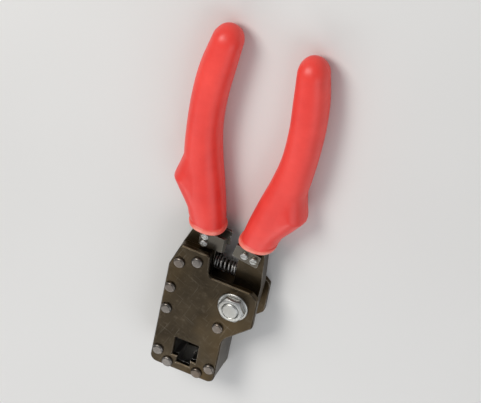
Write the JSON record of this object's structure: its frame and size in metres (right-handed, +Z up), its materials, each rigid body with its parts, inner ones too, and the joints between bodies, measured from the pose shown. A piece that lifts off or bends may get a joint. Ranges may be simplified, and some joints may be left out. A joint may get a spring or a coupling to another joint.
{
  "type": "modular plug crimping tool",
  "caption": "Plier-style crimping tool for modular network plugs: riveted steel head with plug nest and sliding ram, cable cutter, stripper and curved red grips.",
  "frame": {"origin": "on the table under the middle of the tool's outline, the tool lying flat with its handles open", "axes": "+Y from the head's tip to the grip ends, +Z up through the tool's thickness towards the side the plug goes in, +X towards the moving handle"},
  "size_m": [0.0668, 0.196, 0.0225],
  "materials": {
    "grip_red": "semi-matte moulded coral-red grip sleeve",
    "burnished_steel": "burnished, oiled dark brown-black",
    "ground_steel": "ground and hardened, bright",
    "spring_steel": "drawn wire, grey",
    "plated_steel": "dull zinc plate",
    "rivet_steel": "worn dark heads"
  },
  "bodies": {
    "frame": {"frame_plate_lower": "burnished_steel", "frame_plate_upper": "burnished_steel", "plug_stop": "ground_steel", "plug_stop_pins": "plated_steel", "guide_rail_left": "burnished_steel", "guide_rail_right": "burnished_steel", "nest_die": "ground_steel", "guide_rivets": "rivet_steel", "die_rivets": "rivet_steel", "tail_rivets": "rivet_steel", "fixed_handle": "burnished_steel", "tail_spacer_lower": "burnished_steel", "tail_spacer_upper": "burnished_steel", "pivot_screw": "plated_steel", "pivot_washer": "plated_steel", "pivot_nut": "plated_steel", "pivot_spacer_lower": "plated_steel", "pivot_spacer_upper": "plated_steel", "cutter_blade": "ground_steel", "stripper_blade": "ground_steel", "cutter_blade_screws": "plated_steel", "stripper_blade_screws": "plated_steel", "return_spring": "spring_steel", "spring_peg_fixed": "spring_steel", "fixed_grip": "grip_red"},
    "moving_handle": {"moving_handle": "burnished_steel", "moving_grip": "grip_red", "drive_pin": "ground_steel", "cutter_anvil": "ground_steel", "stripper_anvil": "ground_steel", "cutter_anvil_screws": "plated_steel", "stripper_anvil_screws": "plated_steel", "spring_peg_moving": "spring_steel"},
    "ram": {"ram": "ground_steel", "contact_comb": "ground_steel", "strain_relief_punch": "ground_steel", "comb_pin": "ground_steel"}
  },
  "joints": [
    {"name": "handle_hinge", "type": "hinge", "parent": "frame", "child": "moving_handle", "pos_m": [0.01, -0.048, 0.009], "axis": [0, 0, 1], "range_deg": [0, 9.5], "stiffness_Nm_per_rad": 0.8, "springref_deg": -20.05, "deforming": ["return_spring"]},
    {"name": "ram_slide", "type": "slide", "parent": "frame", "child": "ram", "axis": [0, -1, 0], "range_m": [0, 0.00307]}
  ],
  "couplings": [
    {"joint": "ram_slide", "follows": "handle_hinge", "m_per_rad": 0.018479}
  ]
}
